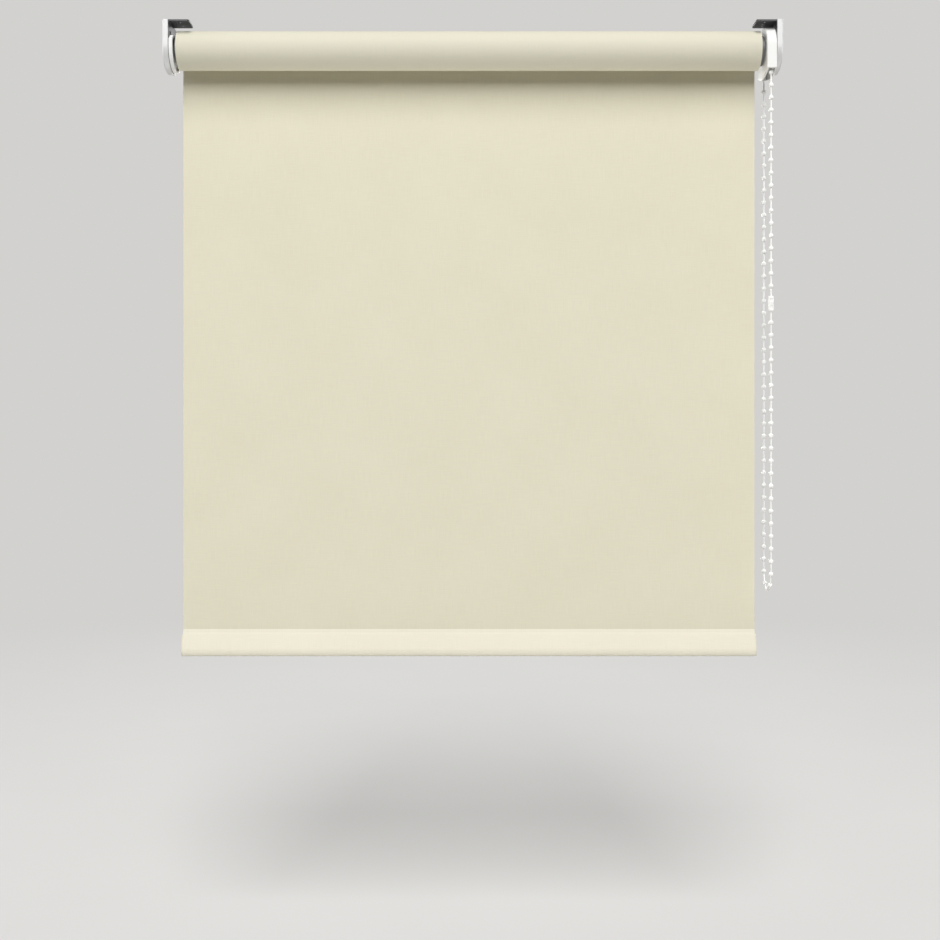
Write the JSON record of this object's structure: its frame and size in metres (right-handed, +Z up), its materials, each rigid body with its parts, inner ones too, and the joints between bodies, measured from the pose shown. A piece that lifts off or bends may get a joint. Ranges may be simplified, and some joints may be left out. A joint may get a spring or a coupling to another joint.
{
  "type": "roller blind",
  "caption": "Roller blind with blackout cloth on a tube, ceiling brackets with silver covers, a bead-chain clutch at the right end and a bar in the hem.",
  "frame": {"origin": "middle of the four screw holes in the two ceiling flanges, on the flanges' top face", "axes": "+X along the roller towards the chain end, -Y to the room, +Z up"},
  "size_m": [0.5906, 0.0461, 0.6113],
  "materials": {
    "bracket_steel": "zinc plated",
    "silver_cover": "bright silver",
    "white_plastic": "satin",
    "grey_plastic": "satin",
    "cream_plastic": "satin",
    "tube_aluminium": "mill",
    "spring_steel": "bright",
    "cloth": "fine weave with a blackout coat",
    "chain_white": "moulded"
  },
  "bodies": {
    "mounting": {"bracket_left": "bracket_steel", "bracket_right": "bracket_steel", "bracket_cover_left": "silver_cover", "bracket_cover_right": "silver_cover", "idle_cradle": "white_plastic", "clutch_base": "white_plastic", "chain_guard": "white_plastic", "post_clip": "spring_steel", "chain_cord": "chain_white", "chain_beads": "chain_white", "chain_connector": "chain_white"},
    "roller": {"roller_tube": "tube_aluminium", "fabric_roll": "cloth", "tube_crown": "grey_plastic", "chain_sprocket": "white_plastic", "clutch_spring": "spring_steel", "idle_plug": "grey_plastic", "idle_pin_spring": "spring_steel"},
    "hem": {"fabric_drop": "cloth", "fabric_hem": "cloth", "hem_bar": "tube_aluminium", "hem_cap_left": "cream_plastic", "hem_cap_right": "cream_plastic"},
    "idle_pin": {"idle_pin": "spring_steel"}
  },
  "joints": [
    {"name": "tube_spin", "type": "hinge", "parent": "mounting", "child": "roller", "pos_m": [0, 0.0099, -0.024], "axis": [1, 0, 0], "range_deg": [-765, 1665], "deforming": ["chain_cord", "chain_beads", "chain_connector"]},
    {"name": "hem_travel", "type": "slide", "parent": "mounting", "child": "hem", "axis": [0, 0, 1], "range_m": [-0.2459, 0.5351], "deforming": ["fabric_drop"]},
    {"name": "idle_pin_press", "type": "slide", "parent": "roller", "child": "idle_pin", "axis": [1, 0, 0], "range_m": [0, 0.005], "stiffness_N_per_m": 400, "springref_m": -0.006, "deforming": ["idle_pin_spring"]}
  ],
  "couplings": [
    {"joint": "hem_travel", "follows": "tube_spin", "m_per_rad": 0.01841}
  ]
}
